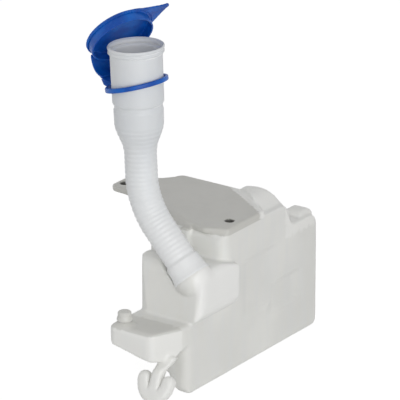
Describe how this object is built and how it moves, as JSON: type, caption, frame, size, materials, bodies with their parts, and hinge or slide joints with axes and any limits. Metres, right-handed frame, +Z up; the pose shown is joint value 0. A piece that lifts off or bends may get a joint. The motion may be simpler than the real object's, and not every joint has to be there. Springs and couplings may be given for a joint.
{
  "type": "washer fluid reservoir",
  "caption": "Blown plastic washer fluid tank with a bolt-on plate, a front arm, a curved corrugated filler tube and a tethered flip cap.",
  "frame": {"origin": "middle of the flat base, between the tank's left and right walls and its front and back", "axes": "+Z up to the filler mouth, +X out of the right-hand wall, +Y from the front arm to the back of the tank"},
  "size_m": [0.1675, 0.2561, 0.35],
  "materials": {
    "tank_plastic": "satin",
    "tube_plastic": "satin",
    "cap_plastic": "semi-gloss"
  },
  "bodies": {
    "reservoir": {"tank": "tank_plastic", "filler_tube": "tube_plastic"},
    "ring": {"cap_ring": "cap_plastic"},
    "lid": {"flip_lid": "cap_plastic", "lid_skirt": "cap_plastic"}
  },
  "joints": [
    {"name": "ring_slide", "type": "slide", "parent": "reservoir", "child": "ring", "axis": [-0.0454, 0, 0.999], "range_m": [-0.01183, 0.01971]},
    {"name": "lid_hinge", "type": "hinge", "parent": "ring", "child": "lid", "pos_m": [-0.06007, -0.07379, 0.281], "axis": [-0.3742, -0.9272, -0.017], "range_deg": [-50, 30]}
  ],
  "couplings": [
    {"joint": "ring_slide", "follows": "lid_hinge", "m_per_rad": -0.022574}
  ]
}
